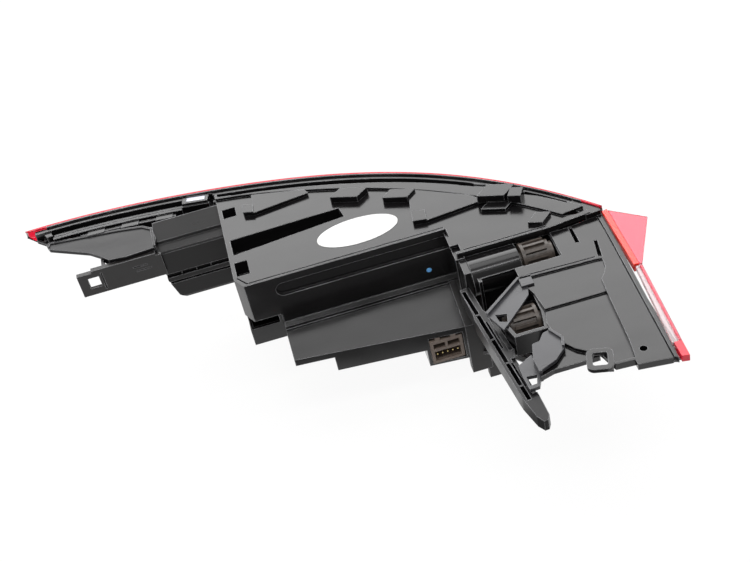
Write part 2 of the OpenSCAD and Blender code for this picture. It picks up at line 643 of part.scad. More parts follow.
// Welding flange of the housing along the near edge of the lens, with a wall that rises to
// the floors of the chambers
function skirt_z(x) = x < -84 ? near_z(x) + 2.5 : x < -59 ? -68 : x < -27 ? -60.5 :
                      x < 43 ? -75.4 : near_z(x) + 2.5;
module near_flange() {
    xs = concat(span(X0 + 8, -84.2, 14), [-83.6, -72, -59.8, -58.6, -50, -38, -27.6, -26.4],
                span(-15, 42, 6), [43.6], span(48, X1 - 14, 14));
    n = len(xs) - 1;
    pts = [for (x = xs) each let (y = near_y(x), z = near_z(x), top = skirt_z(x))
           [[x, y - 1.5, z], [x, y + 2.5, z], [x, y + 1.5, max(top, z + 2.5)],
            [x, y - 1.5, max(top, z + 2.5)]]];
    color([0.13, 0.13, 0.13]) seat() polyhedron(points = pts, faces = concat(
        [[0, 1, 2, 3]], [[4 * n + 3, 4 * n + 2, 4 * n + 1, 4 * n]],
        [for (i = [0:n - 1], k = [0:3]) each let (a = 4 * i + k, b = 4 * i + (k + 1) % 4)
            [[a, a + 4, b + 4], [a, b + 4, b]]]));
}

module inner_bezel() {
    keep = [for (i = [0:NU - 1]) [for (j = [0:NV - 1])
        i >= 13 && i < NU - 2 && !(i >= 17 && i < 20 && j >= 6 && j < 10)
        && !(i >= 27 && i < 30 && j >= 7 && j < 11)]];
    color([0.5, 0.5, 0.52]) seat() skin(bezel_grid(9, false), bezel_grid(10.6, true), keep);
}

// Bright bowl behind a bulb, opening towards the lens
module bowl(r, h, neck) {
    rotate_extrude($fn = 64) polygon(concat(
        [for (a = span(0, 1, 12)) [neck + (r - neck) * a, h * a ^ 2 - h]],
        [for (a = span(1, 0, 12)) [neck + (r - neck) * a + 1.2, h * a ^ 2 - h - 1.2]]));
}

module reflector_stop() {
    color([0.85, 0.85, 0.87]) seat() translate([8, 42, -74]) rotate([180, 0, 0]) bowl(30, 26, 9);
}

module reflector_reverse() {
    color([0.85, 0.85, 0.87]) seat() difference() {
        translate([150, -96, -33]) rotate([180, 0, 0]) bowl(24, 19, 7);
        translate([120, -101, -22]) rotate([0, 90, 0]) cylinder(r = 8.4, h = 26);
    }
}

// Twist-lock bulb holder with a ribbed grip, along X: side 1 plugs in towards -X,
// side -1 towards +X
module holder(p, side) {
    translate(p) rotate([0, 90 * side, 0]) {
        cylinder(r = grip_r - 2, h = grip_len);
        cylinder(r = grip_r, h = 2.4);
        for (i = [0:grip_ribs - 1]) rotate([0, 0, i * 360 / grip_ribs])
            translate([grip_r - 3, -1.1, 2.4]) cube([3, 2.2, grip_len - 5]);
        translate([0, 0, grip_len]) cylinder(r = grip_r - 4, h = 2.6);
        translate([0, 0, -8]) cylinder(r = 7, h = 8);
    }
}

module holder_upper() {
    color([0.4, 0.37, 0.35]) seat() holder([121, -45, -14], 1);
}

module holder_lower() {
    color([0.4, 0.36, 0.34]) seat() holder([114.6, -101, -22], -1);
}

module bulb(p, side) {
    translate(p) rotate([0, -90 * side, 0]) {
        cylinder(r = 4, h = 6);
        translate([0, 0, 6]) cylinder(r = 6.5, h = 9);
        translate([0, 0, 15]) sphere(r = 6.5);
    }
}

module bulb_stop() {
    color([0.95, 0.9, 0.8, 0.5]) seat() bulb([113, -45, -16], 1);
}

module bulb_reverse() {
    color([0.95, 0.95, 0.95, 0.5]) seat() bulb([122.6, -101, -22], -1);
}

// Connector socket in its mouth under the tread
module connector_shell() {
    color([0.36, 0.33, 0.3]) seat() difference() {
        union() {
            block([43, -43.5, -90.4], [68.2, -27, -68]);
            block([47.5, -43.5, -68], [51.5, -29, -65.7]);
            block([59.5, -43.5, -68], [63.5, -29, -65.7]);
        }
        block([45.6, -47, -88], [65.6, -31, -78.6]);
        block([45.6, -47, -76], [54.6, -37, -71]);
        block([56.6, -47, -76], [65.6, -37, -71]);
    }
}

module connector_pins() {
    color([0.75, 0.62, 0.3]) seat() for (i = [0:4])
        block([47.2 + i * 4, -41, -84.2], [48.2 + i * 4, -31, -83]);
}

module light_guide() {
    color([0.9, 0.2, 0.2, 0.6]) seat() far_strip(-190, 120, 16, 21, -20, -16, 20);
}

module reflex_reflector() {
    color([0.7, 0.05, 0.08]) seat() far_strip(60, 130, 12, 15, -40, -20, 10);
}

module rim_pad() {
    color([0.93, 0.93, 0.97]) seat() translate([-99.5, 125.6, -4.6]) rotate([0, 0, -12])
        cube([15.6, 6, 6], center = true);
}

module seal_cord() {
    color([0.06, 0.06, 0.06]) seat()
        far_strip(-84, 160, lens_t + 5.2, lens_t + 8, -channel_d, -channel_d + 2);
}

module oval_label() {
    color([0.97, 0.97, 0.96]) seat() translate([15, 25, 0]) rotate([0, 0, 1])
        linear_extrude(0.3) scale([label_l / 2, label_w / 2]) circle(r = 1, $fn = 64);
}

module paint_dot() {
    color([0.25, 0.65, 1]) seat() translate([59, -2, -34]) rotate([90, 0, 0]) cylinder(r = 2, h = 0.3);
}

rim_frame();
back_panel();
edge_clips();
back_tabs();
left_chamber();
end_cover();
end_channel();
clip_bracket();
left_bay();
middle_bay();
connector_bay();
tall_bay();
side_box();
right_plate();
bulb_sleeve();
holder_pocket();
near_flange();
mounting_arm();
upper_strap();
lower_strap();
locating_loop();
lens_red();
lens_clear();
lens_fin();
inner_bezel();
reflector_stop();
reflector_reverse();
holder_upper();
holder_lower();
bulb_stop();
bulb_reverse();
connector_shell();
connector_pins();
light_guide();
reflex_reflector();
rim_pad();
seal_cord();
oval_label();
paint_dot();
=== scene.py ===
"""Looks of a rear lamp cluster lying lens down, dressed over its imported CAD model.

Lengths taken from the part's source are in millimetres about the main back panel's front
edge ("panel coordinates"); to_row() moves them to the row's frame in metres.
"""

import logging
import math
from dataclasses import dataclass, field
from enum import Enum

import bmesh
import bpy
import numpy as np
from mathutils import Matrix, Vector

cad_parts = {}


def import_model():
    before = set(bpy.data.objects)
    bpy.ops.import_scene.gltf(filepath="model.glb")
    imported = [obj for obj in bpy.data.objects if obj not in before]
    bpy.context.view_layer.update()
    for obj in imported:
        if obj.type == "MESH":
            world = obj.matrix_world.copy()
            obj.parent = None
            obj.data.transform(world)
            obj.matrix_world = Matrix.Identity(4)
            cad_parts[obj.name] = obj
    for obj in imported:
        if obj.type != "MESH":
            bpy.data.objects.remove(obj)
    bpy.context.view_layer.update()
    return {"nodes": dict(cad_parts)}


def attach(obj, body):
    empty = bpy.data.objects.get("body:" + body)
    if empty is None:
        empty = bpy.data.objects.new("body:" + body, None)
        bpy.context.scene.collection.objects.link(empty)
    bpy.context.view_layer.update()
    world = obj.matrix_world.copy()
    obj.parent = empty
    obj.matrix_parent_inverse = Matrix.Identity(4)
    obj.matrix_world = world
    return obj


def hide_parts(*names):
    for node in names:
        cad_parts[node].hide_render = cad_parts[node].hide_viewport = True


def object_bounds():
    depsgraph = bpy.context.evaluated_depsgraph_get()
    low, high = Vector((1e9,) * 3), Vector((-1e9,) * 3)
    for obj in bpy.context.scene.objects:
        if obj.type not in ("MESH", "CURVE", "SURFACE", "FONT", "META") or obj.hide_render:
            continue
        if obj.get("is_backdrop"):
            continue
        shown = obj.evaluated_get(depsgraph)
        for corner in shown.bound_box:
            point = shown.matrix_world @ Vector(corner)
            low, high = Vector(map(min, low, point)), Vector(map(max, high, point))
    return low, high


LOG = logging.getLogger("tail_light")

# The clip bracket's seating face in panel coordinates, which is the row's origin
DATUM_MM = np.array([-170.0, 80.0, -21.0])
BODY = "root"
MM_PER_METRE = 1000.0
WHITE = (1.0, 1.0, 1.0, 1.0)
# Rays that each rounded edge and each look for open room may take
EDGE_SAMPLES = 4


def to_row(points_mm: np.ndarray) -> np.ndarray:
    """Panel coordinates in millimetres, moved to the row's frame in metres."""
    return (np.asarray(points_mm, dtype=float) - DATUM_MM) / MM_PER_METRE


def linear(hex_colour: str) -> tuple[float, float, float, float]:
    """An sRGB hex colour as linear RGBA.

    Args:
        hex_colour: Six hex digits after a hash sign.

    Returns:
        Linear red, green, blue and an alpha of 1.
    """
    parts = [int(hex_colour[i : i + 2], 16) / 255.0 for i in (1, 3, 5)]
    lin = [c / 12.92 if c <= 0.04045 else ((c + 0.055) / 1.055) ** 2.4 for c in parts]
    return (lin[0], lin[1], lin[2], 1.0)


class Mould(Enum):
    """A moulding tool's surface: the part's gloss, as a roughness range, and its grain's depth."""

    POLISHED = ((0.13, 0.24), 0.008)
    SATIN = ((0.26, 0.38), 0.012)
    ERODED = ((0.36, 0.5), 0.03)

    @property
    def roughness(self) -> tuple[float, float]:
        """The roughness range that the surface leaves on the part."""
        return self.value[0]

    @property
    def grain_mm(self) -> float:
        """The depth of its grain in millimetres."""
        return self.value[1]


def add_node(
    tree: bpy.types.NodeTree,
    kind: str,
    settings: dict | None = None,
    inputs: dict | None = None,
    links: dict | None = None,
) -> bpy.types.Node:
    """Adds one node with its settings, its socket values and its incoming links.

    Args:
        tree: The node tree that takes the node.
        kind: Blender's identifier of the node.
        settings: Attribute values by name.
        inputs: Socket values by socket name or number.
        links: Source sockets by the name or number of the input that they feed.

    Returns:
        The new node.
    """
    node = tree.nodes.new(kind)
    for name, value in (settings or {}).items():
        setattr(node, name, value)
    for name, value in (inputs or {}).items():
        node.inputs[name].default_value = value
    for name, socket in (links or {}).items():
        tree.links.new(socket, node.inputs[name])
    return node


def new_tree(name: str) -> tuple[bpy.types.Material, bpy.types.NodeTree]:
    """A new material with an empty node tree."""
    material = bpy.data.materials.new(name)
    material.use_nodes = True
    material.node_tree.nodes.clear()
    return material, material.node_tree


def set_ramp(node: bpy.types.Node, stops: list[tuple[float, tuple]]) -> None:
    """Gives a colour ramp its stops, each a place and a linear colour."""
    ramp = node.color_ramp
    while len(ramp.elements) > 1:
        ramp.elements.remove(ramp.elements[-1])
    ramp.elements[0].position = stops[0][0]
    ramp.elements[0].color = stops[0][1]
    for place, colour in stops[1:]:
        ramp.elements.new(place).color = colour


def noise(
    tree: bpy.types.NodeTree, place: bpy.types.NodeSocket, size_mm: float, detail: float
) -> bpy.types.NodeSocket:
    """Noise over an object.

    Args:
        tree: The material's node tree.
        place: The object's coordinates.
        size_mm: How far apart its features lie.
        detail: How many finer layers it has.

    Returns:
        The noise's value.
    """
    node = add_node(
        tree,
        "ShaderNodeTexNoise",
        inputs={"Scale": MM_PER_METRE / size_mm, "Detail": detail},
        links={"Vector": place},
    )
    return node.outputs["Fac"]


def bump(
    tree: bpy.types.NodeTree,
    height: bpy.types.NodeSocket,
    depth_mm: float,
    normal: bpy.types.NodeSocket | None = None,
    strength: float = 1.0,
) -> bpy.types.NodeSocket:
    """Relief in the shading.

    Args:
        tree: The material's node tree.
        height: The relief's height, from 0 to 1.
        depth_mm: What a height of 1 stands for.
        normal: The normal that the relief is laid over, if it isn't the surface's own.
        strength: The relief's weight.

    Returns:
        The normal with the relief.
    """
    node = add_node(
        tree,
        "ShaderNodeBump",
        inputs={"Strength": strength, "Distance": depth_mm / MM_PER_METRE},
        links={"Height": height} if normal is None else {"Height": height, "Normal": normal},
    )
    return node.outputs["Normal"]


def soft_edge(tree: bpy.types.NodeTree, radius_mm: float) -> bpy.types.NodeSocket:
    """The surface's normal with its edges rounded over."""
    node = add_node(
        tree,
        "ShaderNodeBevel",
        settings={"samples": EDGE_SAMPLES},
        inputs={"Radius": radius_mm / MM_PER_METRE},
    )
    return node.outputs["Normal"]


def remap(
    tree: bpy.types.NodeTree,
    value: bpy.types.NodeSocket,
    span: tuple[float, float],
    ends: tuple[float, float] = (0.0, 1.0),
) -> bpy.types.NodeSocket:
    """Maps a value from one range to another and holds it there.

    Args:
        tree: The node tree.
        value: The value.
        span: The range that it comes from.
        ends: What the two ends of that range become.

    Returns:
        The mapped value.
    """
    node = add_node(
        tree,
        "ShaderNodeMapRange",
        inputs={"From Min": span[0], "From Max": span[1], "To Min": ends[0], "To Max": ends[1]},
        links={"Value": value},
    )
    return node.outputs["Result"]


def fold(
    tree: bpy.types.NodeTree, operation: str, *values: bpy.types.NodeSocket | float
) -> bpy.types.NodeSocket:
    """Joins values in turn by one operation.

    Args:
        tree: The node tree.
        operation: MULTIPLY or MAXIMUM.
        values: A socket first, then sockets or plain numbers.

    Returns:
        The joined value.
    """
    total, *others = values
    for value in others:
        plain = isinstance(value, float)
        total = add_node(
            tree,
            "ShaderNodeMath",
            settings={"operation": operation},
            inputs={1: value} if plain else None,
            links={0: total} if plain else {0: total, 1: value},
        ).outputs[0]
    return total


# Where an outer edge takes a painted highlight: by the cosine of the rounded normal's turn, by the
# open room about it within the reach below, and by the flow marks, which leave at least the last
# share below of it
HIGHLIGHT_TURN = (0.97, 0.8)
HIGHLIGHT_OPEN = (0.7, 0.95)
HIGHLIGHT_ROOM_M = 0.002
HIGHLIGHT_MARKS = (0.35, 0.6)
HIGHLIGHT_LEAST = 0.35
# Flow marks lie along X: repeats to the metre
FLOW_SCALE = (22.0, 60.0, 60.0)


@dataclass(frozen=True)
class MouldedBlack:
    """Black ABS blend, injection moulded: a deep base under a thin, slightly wavy gloss.

    The tool's polish shows as faint flow marks in the gloss, some 30 mm long, and the
    skin's sink shows as a very soft unevenness. Moulded edges are never sharp; outer edges carry a
    painted highlight.
    """

    name: str
    base: str = "#0e0d0e"
    dusty: str = "#171617"
    mould: Mould = Mould.POLISHED
    grain_mm: float = 0.9
    edge_mm: float = 1.0
    sink_mm: float = 38.0
    sink_depth: float = 0.5
    # Colour of the painted highlight on outer edges
    edge_highlight: str = "#bcbcbf"
    ior: float = 1.5

    def paint_edge_highlight(
        self,
        tree: bpy.types.NodeTree,
        base: bpy.types.NodeSocket,
        rounded: bpy.types.NodeSocket,
        marks: bpy.types.NodeSocket,
    ) -> bpy.types.Node:
        """Paints a highlight on outer edges by mixing in a lighter colour, and leaves inner
        corners.

        Args:
            tree: The material's node tree.
            base: The colour away from the edges.
            rounded: The rounded normal.
            marks: Noise that makes the line uneven.

        Returns:
            The node that mixes the two colours.
        """
        true_normal = add_node(tree, "ShaderNodeNewGeometry").outputs["True Normal"]
        turn = add_node(
            tree,
            "ShaderNodeVectorMath",
            settings={"operation": "DOT_PRODUCT"},
            links={0: true_normal, 1: rounded},
        )
        room = add_node(
            tree,
            "ShaderNodeAmbientOcclusion",
            settings={"samples": EDGE_SAMPLES, "only_local": True},
            inputs={"Distance": HIGHLIGHT_ROOM_M},
        )
        # Painted highlight: the lighter colour on outer edges, weighted by the edge's turn, its
        # open room and the flow marks
        highlight = fold(
            tree,
            "MULTIPLY",
            remap(tree, turn.outputs["Value"], HIGHLIGHT_TURN),
            remap(tree, room.outputs["AO"], HIGHLIGHT_OPEN),
            remap(tree, marks, HIGHLIGHT_MARKS, (HIGHLIGHT_LEAST, 1.0)),
        )
        return add_node(
            tree,
            "ShaderNodeMixRGB",
            inputs={"Color2": linear(self.edge_highlight)},
            links={"Fac": highlight, "Color1": base},
        )

    def build(self) -> bpy.types.Material:
        """Builds the material.

        Returns:
            The finished material.
        """
        material, tree = new_tree(self.name)
        place = add_node(tree, "ShaderNodeTexCoord").outputs["Object"]
        flow = add_node(
            tree, "ShaderNodeMapping", inputs={"Scale": FLOW_SCALE}, links={"Vector": place}
        )
        marks = add_node(
            tree,
            "ShaderNodeTexNoise",
            inputs={"Scale": 1.0, "Detail": 4.0, "Roughness": 0.55},
            links={"Vector": flow.outputs["Vector"]},
        ).outputs["Fac"]
        base = add_node(tree, "ShaderNodeValToRGB", links={"Fac": marks})
        set_ramp(base, [(0.3, linear(self.base)), (0.75, linear(self.dusty))])
        rounded = soft_edge(tree, self.edge_mm)
        sunk = bump(tree, noise(tree, place, self.sink_mm, 1.0), self.sink_depth, rounded)
        grain = noise(tree, place, self.grain_mm, 2.0)
        highlighted = self.paint_edge_highlight(tree, base.outputs["Color"], rounded, marks)
        shader = add_node(
            tree,
            "ShaderNodeBsdfPrincipled",
            inputs={"IOR": self.ior},
            links={
                "Base Color": highlighted.outputs["Color"],
                "Roughness": remap(tree, marks, (0.3, 0.7), self.mould.roughness),
                "Normal": bump(tree, grain, self.mould.grain_mm, sunk),
            },
        )
        add_node(tree, "ShaderNodeOutputMaterial", links={"Surface": shader.outputs["BSDF"]})
        return material


ACRYLIC_IOR = 1.49
RIPPLE_DEPTH_MM = 0.4
RIPPLE_WEIGHT = 0.25


@dataclass(frozen=True)
class CastAcrylic:
    """Transparent acrylic, injection moulded and hard coated, tinted through its thickness."""

    name: str
    tint: str
    scatter: float = 0.0
    gloss: float = 0.04
    ripple_mm: float = 40.0

    def build(self) -> bpy.types.Material:
        """Builds the material.

        Returns:
            The finished material.
        """
        material, tree = new_tree(self.name)
        place = add_node(tree, "ShaderNodeTexCoord").outputs["Object"]
        ripple = noise(tree, place, self.ripple_mm, 1.0)
        shader = add_node(
            tree,
            "ShaderNodeBsdfPrincipled",
            inputs={
                "Base Color": linear(self.tint),
                "IOR": ACRYLIC_IOR,
                "Roughness": self.gloss,
                "Transmission Weight": 1.0 - self.scatter,
            },
            links={"Normal": bump(tree, ripple, RIPPLE_DEPTH_MM, strength=RIPPLE_WEIGHT)},
        )
        add_node(tree, "ShaderNodeOutputMaterial", links={"Surface": shader.outputs["BSDF"]})
        return material


@dataclass(frozen=True)
class PlainFinish:
    """A small part's finish: one colour, mottled a little, with its own grain and gloss."""

    name: str
    base: str
    mottled: str
    gloss: float = 0.5
    metallic: float = 0.0
    mottle_mm: float = 3.0
    grain_mm: float = 0.5
    grain_depth: float = 0.04
    edge_mm: float = 0.3

    def build(self) -> bpy.types.Material:
        """Builds the material.

        Returns:
            The finished material.
        """
        material, tree = new_tree(self.name)
        place = add_node(tree, "ShaderNodeTexCoord").outputs["Object"]
        mottle = noise(tree, place, self.mottle_mm, 3.0)
        base = add_node(tree, "ShaderNodeValToRGB", links={"Fac": mottle})
        set_ramp(base, [(0.3, linear(self.base)), (0.7, linear(self.mottled))])
        grain = noise(tree, place, self.grain_mm, 2.0)
        rounded = soft_edge(tree, self.edge_mm)
        shader = add_node(
            tree,
            "ShaderNodeBsdfPrincipled",
            inputs={"Metallic": self.metallic, "Roughness": self.gloss},
            links={
                "Base Color": base.outputs["Color"],
                "Normal": bump(tree, grain, self.grain_depth, rounded),
            },
        )
        add_node(tree, "ShaderNodeOutputMaterial", links={"Surface": shader.outputs["BSDF"]})
        return material


@dataclass
class Finishes:
    """Every finish of the lamp, built once and shared."""

    housing: MouldedBlack = MouldedBlack("moulded_black_gloss")
    cover: MouldedBlack = MouldedBlack(
        "moulded_black_satin", "#0c0b0d", "#131214", Mould.SATIN, ior=1.38
    )
    # The left chamber's black: satin grain, with painted shade in its darker base and lower IOR
    shaded: MouldedBlack = MouldedBlack(
        "moulded_black_satin_painted_shade", "#0b0a0a", "#141213", Mould.SATIN, ior=1.36
    )
    dull: MouldedBlack = MouldedBlack("moulded_black_dull", "#121010", "#1b1817", Mould.ERODED)
    strap: MouldedBlack = MouldedBlack(
        "pressed_strap_grey", "#3a3a3d", "#48484b", Mould.SATIN,
        grain_mm=0.6, edge_mm=0.5, sink_mm=20.0, sink_depth=0.5,
    )
    red: CastAcrylic = CastAcrylic("red_acrylic", "#e0203a")
    rim: CastAcrylic = CastAcrylic("red_acrylic_edge", "#e0243c", 0.85, 0.12)
    # A brighter copy of the edge acrylic: painted light on the fin's root
    rim_painted_lit: CastAcrylic = CastAcrylic("acrylic_edge_painted_lit", "#ff4436", 0.85, 0.12)
    # Pale pink: thin red acrylic, lightened further by a painted sheen of the white surround
    fin: CastAcrylic = CastAcrylic("thin_red_acrylic_painted_sheen", "#ff5c72", 0.12, 0.06)
    clear: CastAcrylic = CastAcrylic("clear_acrylic", "#f4eaea", 0.0, 0.03)
    clear_edge: CastAcrylic = CastAcrylic("clear_acrylic_edge", "#e2cfd1", 0.25, 0.1)
    holder: PlainFinish = PlainFinish("glass_filled_polyamide", "#37302b", "#4e453e", 0.4)
    socket: PlainFinish = PlainFinish("socket_polyamide", "#6d6058", "#7d7066", 0.45)
    metal: PlainFinish = PlainFinish(
        "metallised_bowl", "#dfe0e2", "#cfd0d3", 0.08,
        metallic=1.0, mottle_mm=8.0, grain_mm=4.0, grain_depth=0.01,
    )
    bezel: PlainFinish = PlainFinish(
        "metallised_bezel", "#b9babd", "#a9aaae", 0.18,
        metallic=1.0, mottle_mm=8.0, grain_mm=2.0, grain_depth=0.02,
    )
    brass: PlainFinish = PlainFinish("tinned_brass", "#d6c28a", "#c4b078", 0.25, 1.0)
    bulb: CastAcrylic = CastAcrylic("blown_glass", "#f6f4ee", 0.0, 0.02, 9.0)
    guide: CastAcrylic = CastAcrylic("light_guide_acrylic", "#f06070", 0.2, 0.1)
    prism: PlainFinish = PlainFinish("red_prism_bar", "#7c0a18", "#9a1022", 0.2)
    foam: PlainFinish = PlainFinish(
        "white_foam", "#f4f4ff", "#e8e8f6", 0.85,
        mottle_mm=1.2, grain_mm=0.6, grain_depth=0.15, edge_mm=0.8,
    )
    butyl: PlainFinish = PlainFinish(
        "butyl_cord", "#121112", "#1c1a1a", 0.6,
        mottle_mm=4.0, grain_mm=1.0, grain_depth=0.1, edge_mm=0.6,
    )
    paper: PlainFinish = PlainFinish(
        "coated_paper", "#dededd", "#cfcfcd", 0.45,
        mottle_mm=6.0, grain_mm=0.3, grain_depth=0.005, edge_mm=0.1,
    )
    paint: PlainFinish = PlainFinish(
        "inspection_paint", "#58b2ff", "#86caff", 0.4,
        mottle_mm=0.8, grain_mm=0.5, grain_depth=0.1, edge_mm=0.2,
    )
    made: dict[str, bpy.types.Material] = field(default_factory=dict)

    def get(self, name: str) -> bpy.types.Material:
        """The material of a named finish, built at its first use."""
        if name not in self.made:
            self.made[name] = getattr(self, name).build()
        return self.made[name]


def dress_node(node: bpy.types.Object, material: bpy.types.Material) -> None:
    """Gives every slot of a CAD node one material; its mesh isn't touched."""
    if not node.material_slots:
        node.data.materials.append(material)
    for slot in node.material_slots:
        slot.material = material


def place_object(name: str, data: bpy.types.ID) -> bpy.types.Object:
    """A new object of the scene with this mesh, light or camera."""
    placed = bpy.data.objects.new(name, data)
    bpy.context.scene.collection.objects.link(placed)
    return placed


def place_piece(name: str, mesh: bpy.types.Mesh) -> bpy.types.Object:
    """A new piece that rides on the lamp's one body."""
    piece = place_object(name, mesh)
    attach(piece, BODY)
    return piece


def make_piece(
    name: str,
    vertices: np.ndarray,
    faces: list | np.ndarray,
    material: bpy.types.Material,
    smooth: bool = True,
) -> bpy.types.Object:
    """Makes a mesh object that rides on the lamp's one body.

    Args:
        name: The piece's name.
        vertices: Row-frame points in metres, one row each.
        faces: Vertex numbers of each face.
        material: The piece's finish.
        smooth: Whether its faces are shaded smooth.

    Returns:
        The new object.
    """
    mesh = bpy.data.meshes.new(name)
    corners = [[int(k) for k in face] for face in faces]
    mesh.from_pydata(np.asarray(vertices, dtype=float).tolist(), [], corners)
    mesh.validate()
    if smooth:
        mesh.shade_smooth()
    mesh.materials.append(material)
    return place_piece(name, mesh)


# The long edge in plan, as millimetres by powers of x / 100; all but the first are taken off
LONG_EDGE = (107.9, 34, 11.5, 3, 0.64)


@dataclass
class LensForm:
    """The lofted lens surface of the part's source, as arrays.

    Across the lamp the section is one cubic curve from the long edge (v = 0) down, round the
    belly and up to the near edge (v = 1); along the lamp its ends and its depth follow the
    same knots as the solid.
    """

    x_ends: tuple[float, float] = (-240.0, 190.0)
    wall_mm: float = 2.6
    near_y_knots: tuple = (
        (-240, 142), (-222, 129), (-200, 118), (-160, 106), (-112, 98), (-87, 90), (-60, 60),
        (-20, 25), (40, -12), (60, -25), (78, -37), (90, -62), (100, -112), (122, -148),
        (140, -157), (152, -172), (190, -189),
    )
    near_z_knots: tuple = (
        (-240, -5), (-222, -11), (-200, -14), (-160, -31), (-112, -58), (-87, -66), (-60, -74),
        (-20, -84), (40, -94), (60, -97), (78, -99), (90, -80), (100, -48), (122, -17),
        (140, -13), (152, -12), (190, -9),
    )
    depth_knots: tuple = (
        (-240, 6), (-222, 12), (-200, 22), (-160, 44), (-112, 74), (-60, 100), (0, 114),
        (60, 118), (105, 108), (140, 82), (165, 52), (180, 28), (190, 11),
    )

    @staticmethod
    def knot_curve(knots: tuple, x: np.ndarray) -> np.ndarray:
        """Smooth curve through knots: cubic pieces whose slope at a knot joins its neighbours.

        Args:
            knots: Pairs of place and value.
            x: Places to work out.

        Returns:
            The value at each place.
        """
        table = np.array(knots, dtype=float)
        kx, kv = table[:, 0], table[:, 1]
        before = np.maximum(np.arange(len(kx)) - 1, 0)
        after = np.minimum(np.arange(len(kx)) + 1, len(kx) - 1)
        slope = (kv[after] - kv[before]) / (kx[after] - kx[before])
        i = np.clip(np.searchsorted(kx, x, side="left") - 1, 0, len(kx) - 2)
        w = kx[i + 1] - kx[i]
        s = np.clip((x - kx[i]) / w, 0, 1)
        return (
            (2 * s**3 - 3 * s**2 + 1) * kv[i]
            + (s**3 - 2 * s**2 + s) * slope[i] * w
            + (3 * s**2 - 2 * s**3) * kv[i + 1]
            + (s**3 - s**2) * slope[i + 1] * w
        )

    @staticmethod
    def far_y(x: np.ndarray) -> np.ndarray:
        """The long edge in plan: a quartic sweep in x / 100."""
        u = np.asarray(x) / 100.0
        start, first, second, third, fourth = LONG_EDGE
        return start - first * u - second * u**2 - third * u**3 - fourth * u**4

    def stations(self, rows: int) -> np.ndarray:
        """Places along the lamp for a grid with this many rows of cells, as in the source."""
        # The first 72% of the rows are a little closer together than the rest
        s = np.linspace(0, 1, rows + 1)
        t = np.where(s < 0.72, s * 0.98, 0.7056 + (s - 0.72) * 0.2944 / 0.28)
        return self.x_ends[0] + (self.x_ends[1] - self.x_ends[0]) * t

    def points(self, x: np.ndarray, v: np.ndarray, inset: float, top: float = 0.6) -> np.ndarray:
        """Points of the section curve at every x and v, moved inwards by inset.

        Args:
            x: Places along the lamp, broadcast against v.
            v: Places round the section, 0 at the long edge and 1 at the near edge.
            inset: Distance inside the outer surface in millimetres.
            top: Height of the long edge.

        Returns:
            Panel coordinates, one row of three for each pair.
        """
        x, v = np.broadcast_arrays(x, v)
        y0 = self.far_y(x) - inset
        y1 = self.knot_curve(self.near_y_knots, x) + inset
        z1 = self.knot_curve(self.near_z_knots, x)
        width = y0 - y1
        # Halfway round, the cubic takes 0.75 from its two middle points and 0.125 from each end
        belly = -(self.knot_curve(self.depth_knots, x) - inset + 0.125 * (z1 - 2)) / 0.75
        # The middle points lie at least 8% of the width below the near edge, and the one next
        # to that edge lies inwards of it by more the deeper they are, up to 95% of the width
        low = np.minimum(belly, z1 - 0.08 * width)
        reach = np.minimum(0.95, (z1 - low) / (0.7 * width))

        def cubic(a: np.ndarray, b: np.ndarray, c: np.ndarray, d: np.ndarray) -> np.ndarray:
            """One coordinate of the section, from its four control values."""
            return (1 - v) ** 3 * a + 3 * (1 - v) ** 2 * v * b + 3 * (1 - v) * v**2 * c + v**3 * d

        y = cubic(y0, y0 + 5, y1 + reach * width, y1)
        z = cubic(np.full_like(y, top), low, low, z1)
        return np.stack([x, y, z], axis=-1)

    def inner_x(self, x: np.ndarray) -> np.ndarray:
        """Places along the lamp for the inner wall, drawn in by up to 2 mm towards the ends."""
        return x + np.where(x < -25, 1, -1) * 2 * np.minimum(1, np.abs(x + 25) / 215)


def skin_faces(keep: np.ndarray) -> list[list[int]]:
    """Faces of a closed skin between an outer and an inner grid.

    The outer grid's points come first, row by row, then the inner grid's. Where a kept cell
    has no kept neighbour, a wall joins the two grids.

    Args:
        keep: True for each cell that the skin covers.

    Returns:
        Quads, facing outwards for a grid whose rows run along X and whose columns run
        from the long edge round to the near edge.
    """
    rows, cols = keep.shape
    n = cols + 1
    half = (rows + 1) * n
    i, j = np.nonzero(keep)
    a, b, c, d = i * n + j, i * n + j + 1, (i + 1) * n + j + 1, (i + 1) * n + j
    parts = [np.stack([a, d, c, b], 1), np.stack([a, b, c, d], 1) + half]
    pad = np.pad(keep, 1)
    for di, dj, p, q in ((-1, 0, a, b), (1, 0, c, d), (0, -1, d, a), (0, 1, b, c)):
        open_side = ~pad[i + 1 + di, j + 1 + dj]
        p2, q2 = p[open_side], q[open_side]
        parts.append(np.stack([q2, p2, p2 + half, q2 + half], 1))
    return np.concatenate(parts).tolist()


def fix_normals(piece: bpy.types.Object) -> None:
    """Merges doubles and turns every face outwards."""
    bm = bmesh.new()
    bm.from_mesh(piece.data)
    bmesh.ops.remove_doubles(bm, verts=bm.verts, dist=1e-6)
    loose = [v for v in bm.verts if not v.link_faces]
    bmesh.ops.delete(bm, geom=loose, context="VERTS")
    bmesh.ops.recalc_face_normals(bm, faces=bm.faces)
    bm.to_mesh(piece.data)
    bm.free()


@dataclass(frozen=True)
class Optic:
    """A fluted sheet behind the lens: where it lies on the lens grid, and its flutes."""

    name: str
    x_ends: tuple[float, float]
    v_ends: tuple[float, float]
    finish: str
    slot: str
    pitch_mm: float = 5.0
    depth_mm: float = 1.1
    inset_mm: float = 5.2
    sheet_mm: float = 1.4
    steps_per_flute: int = 8
    points_round: int = 25


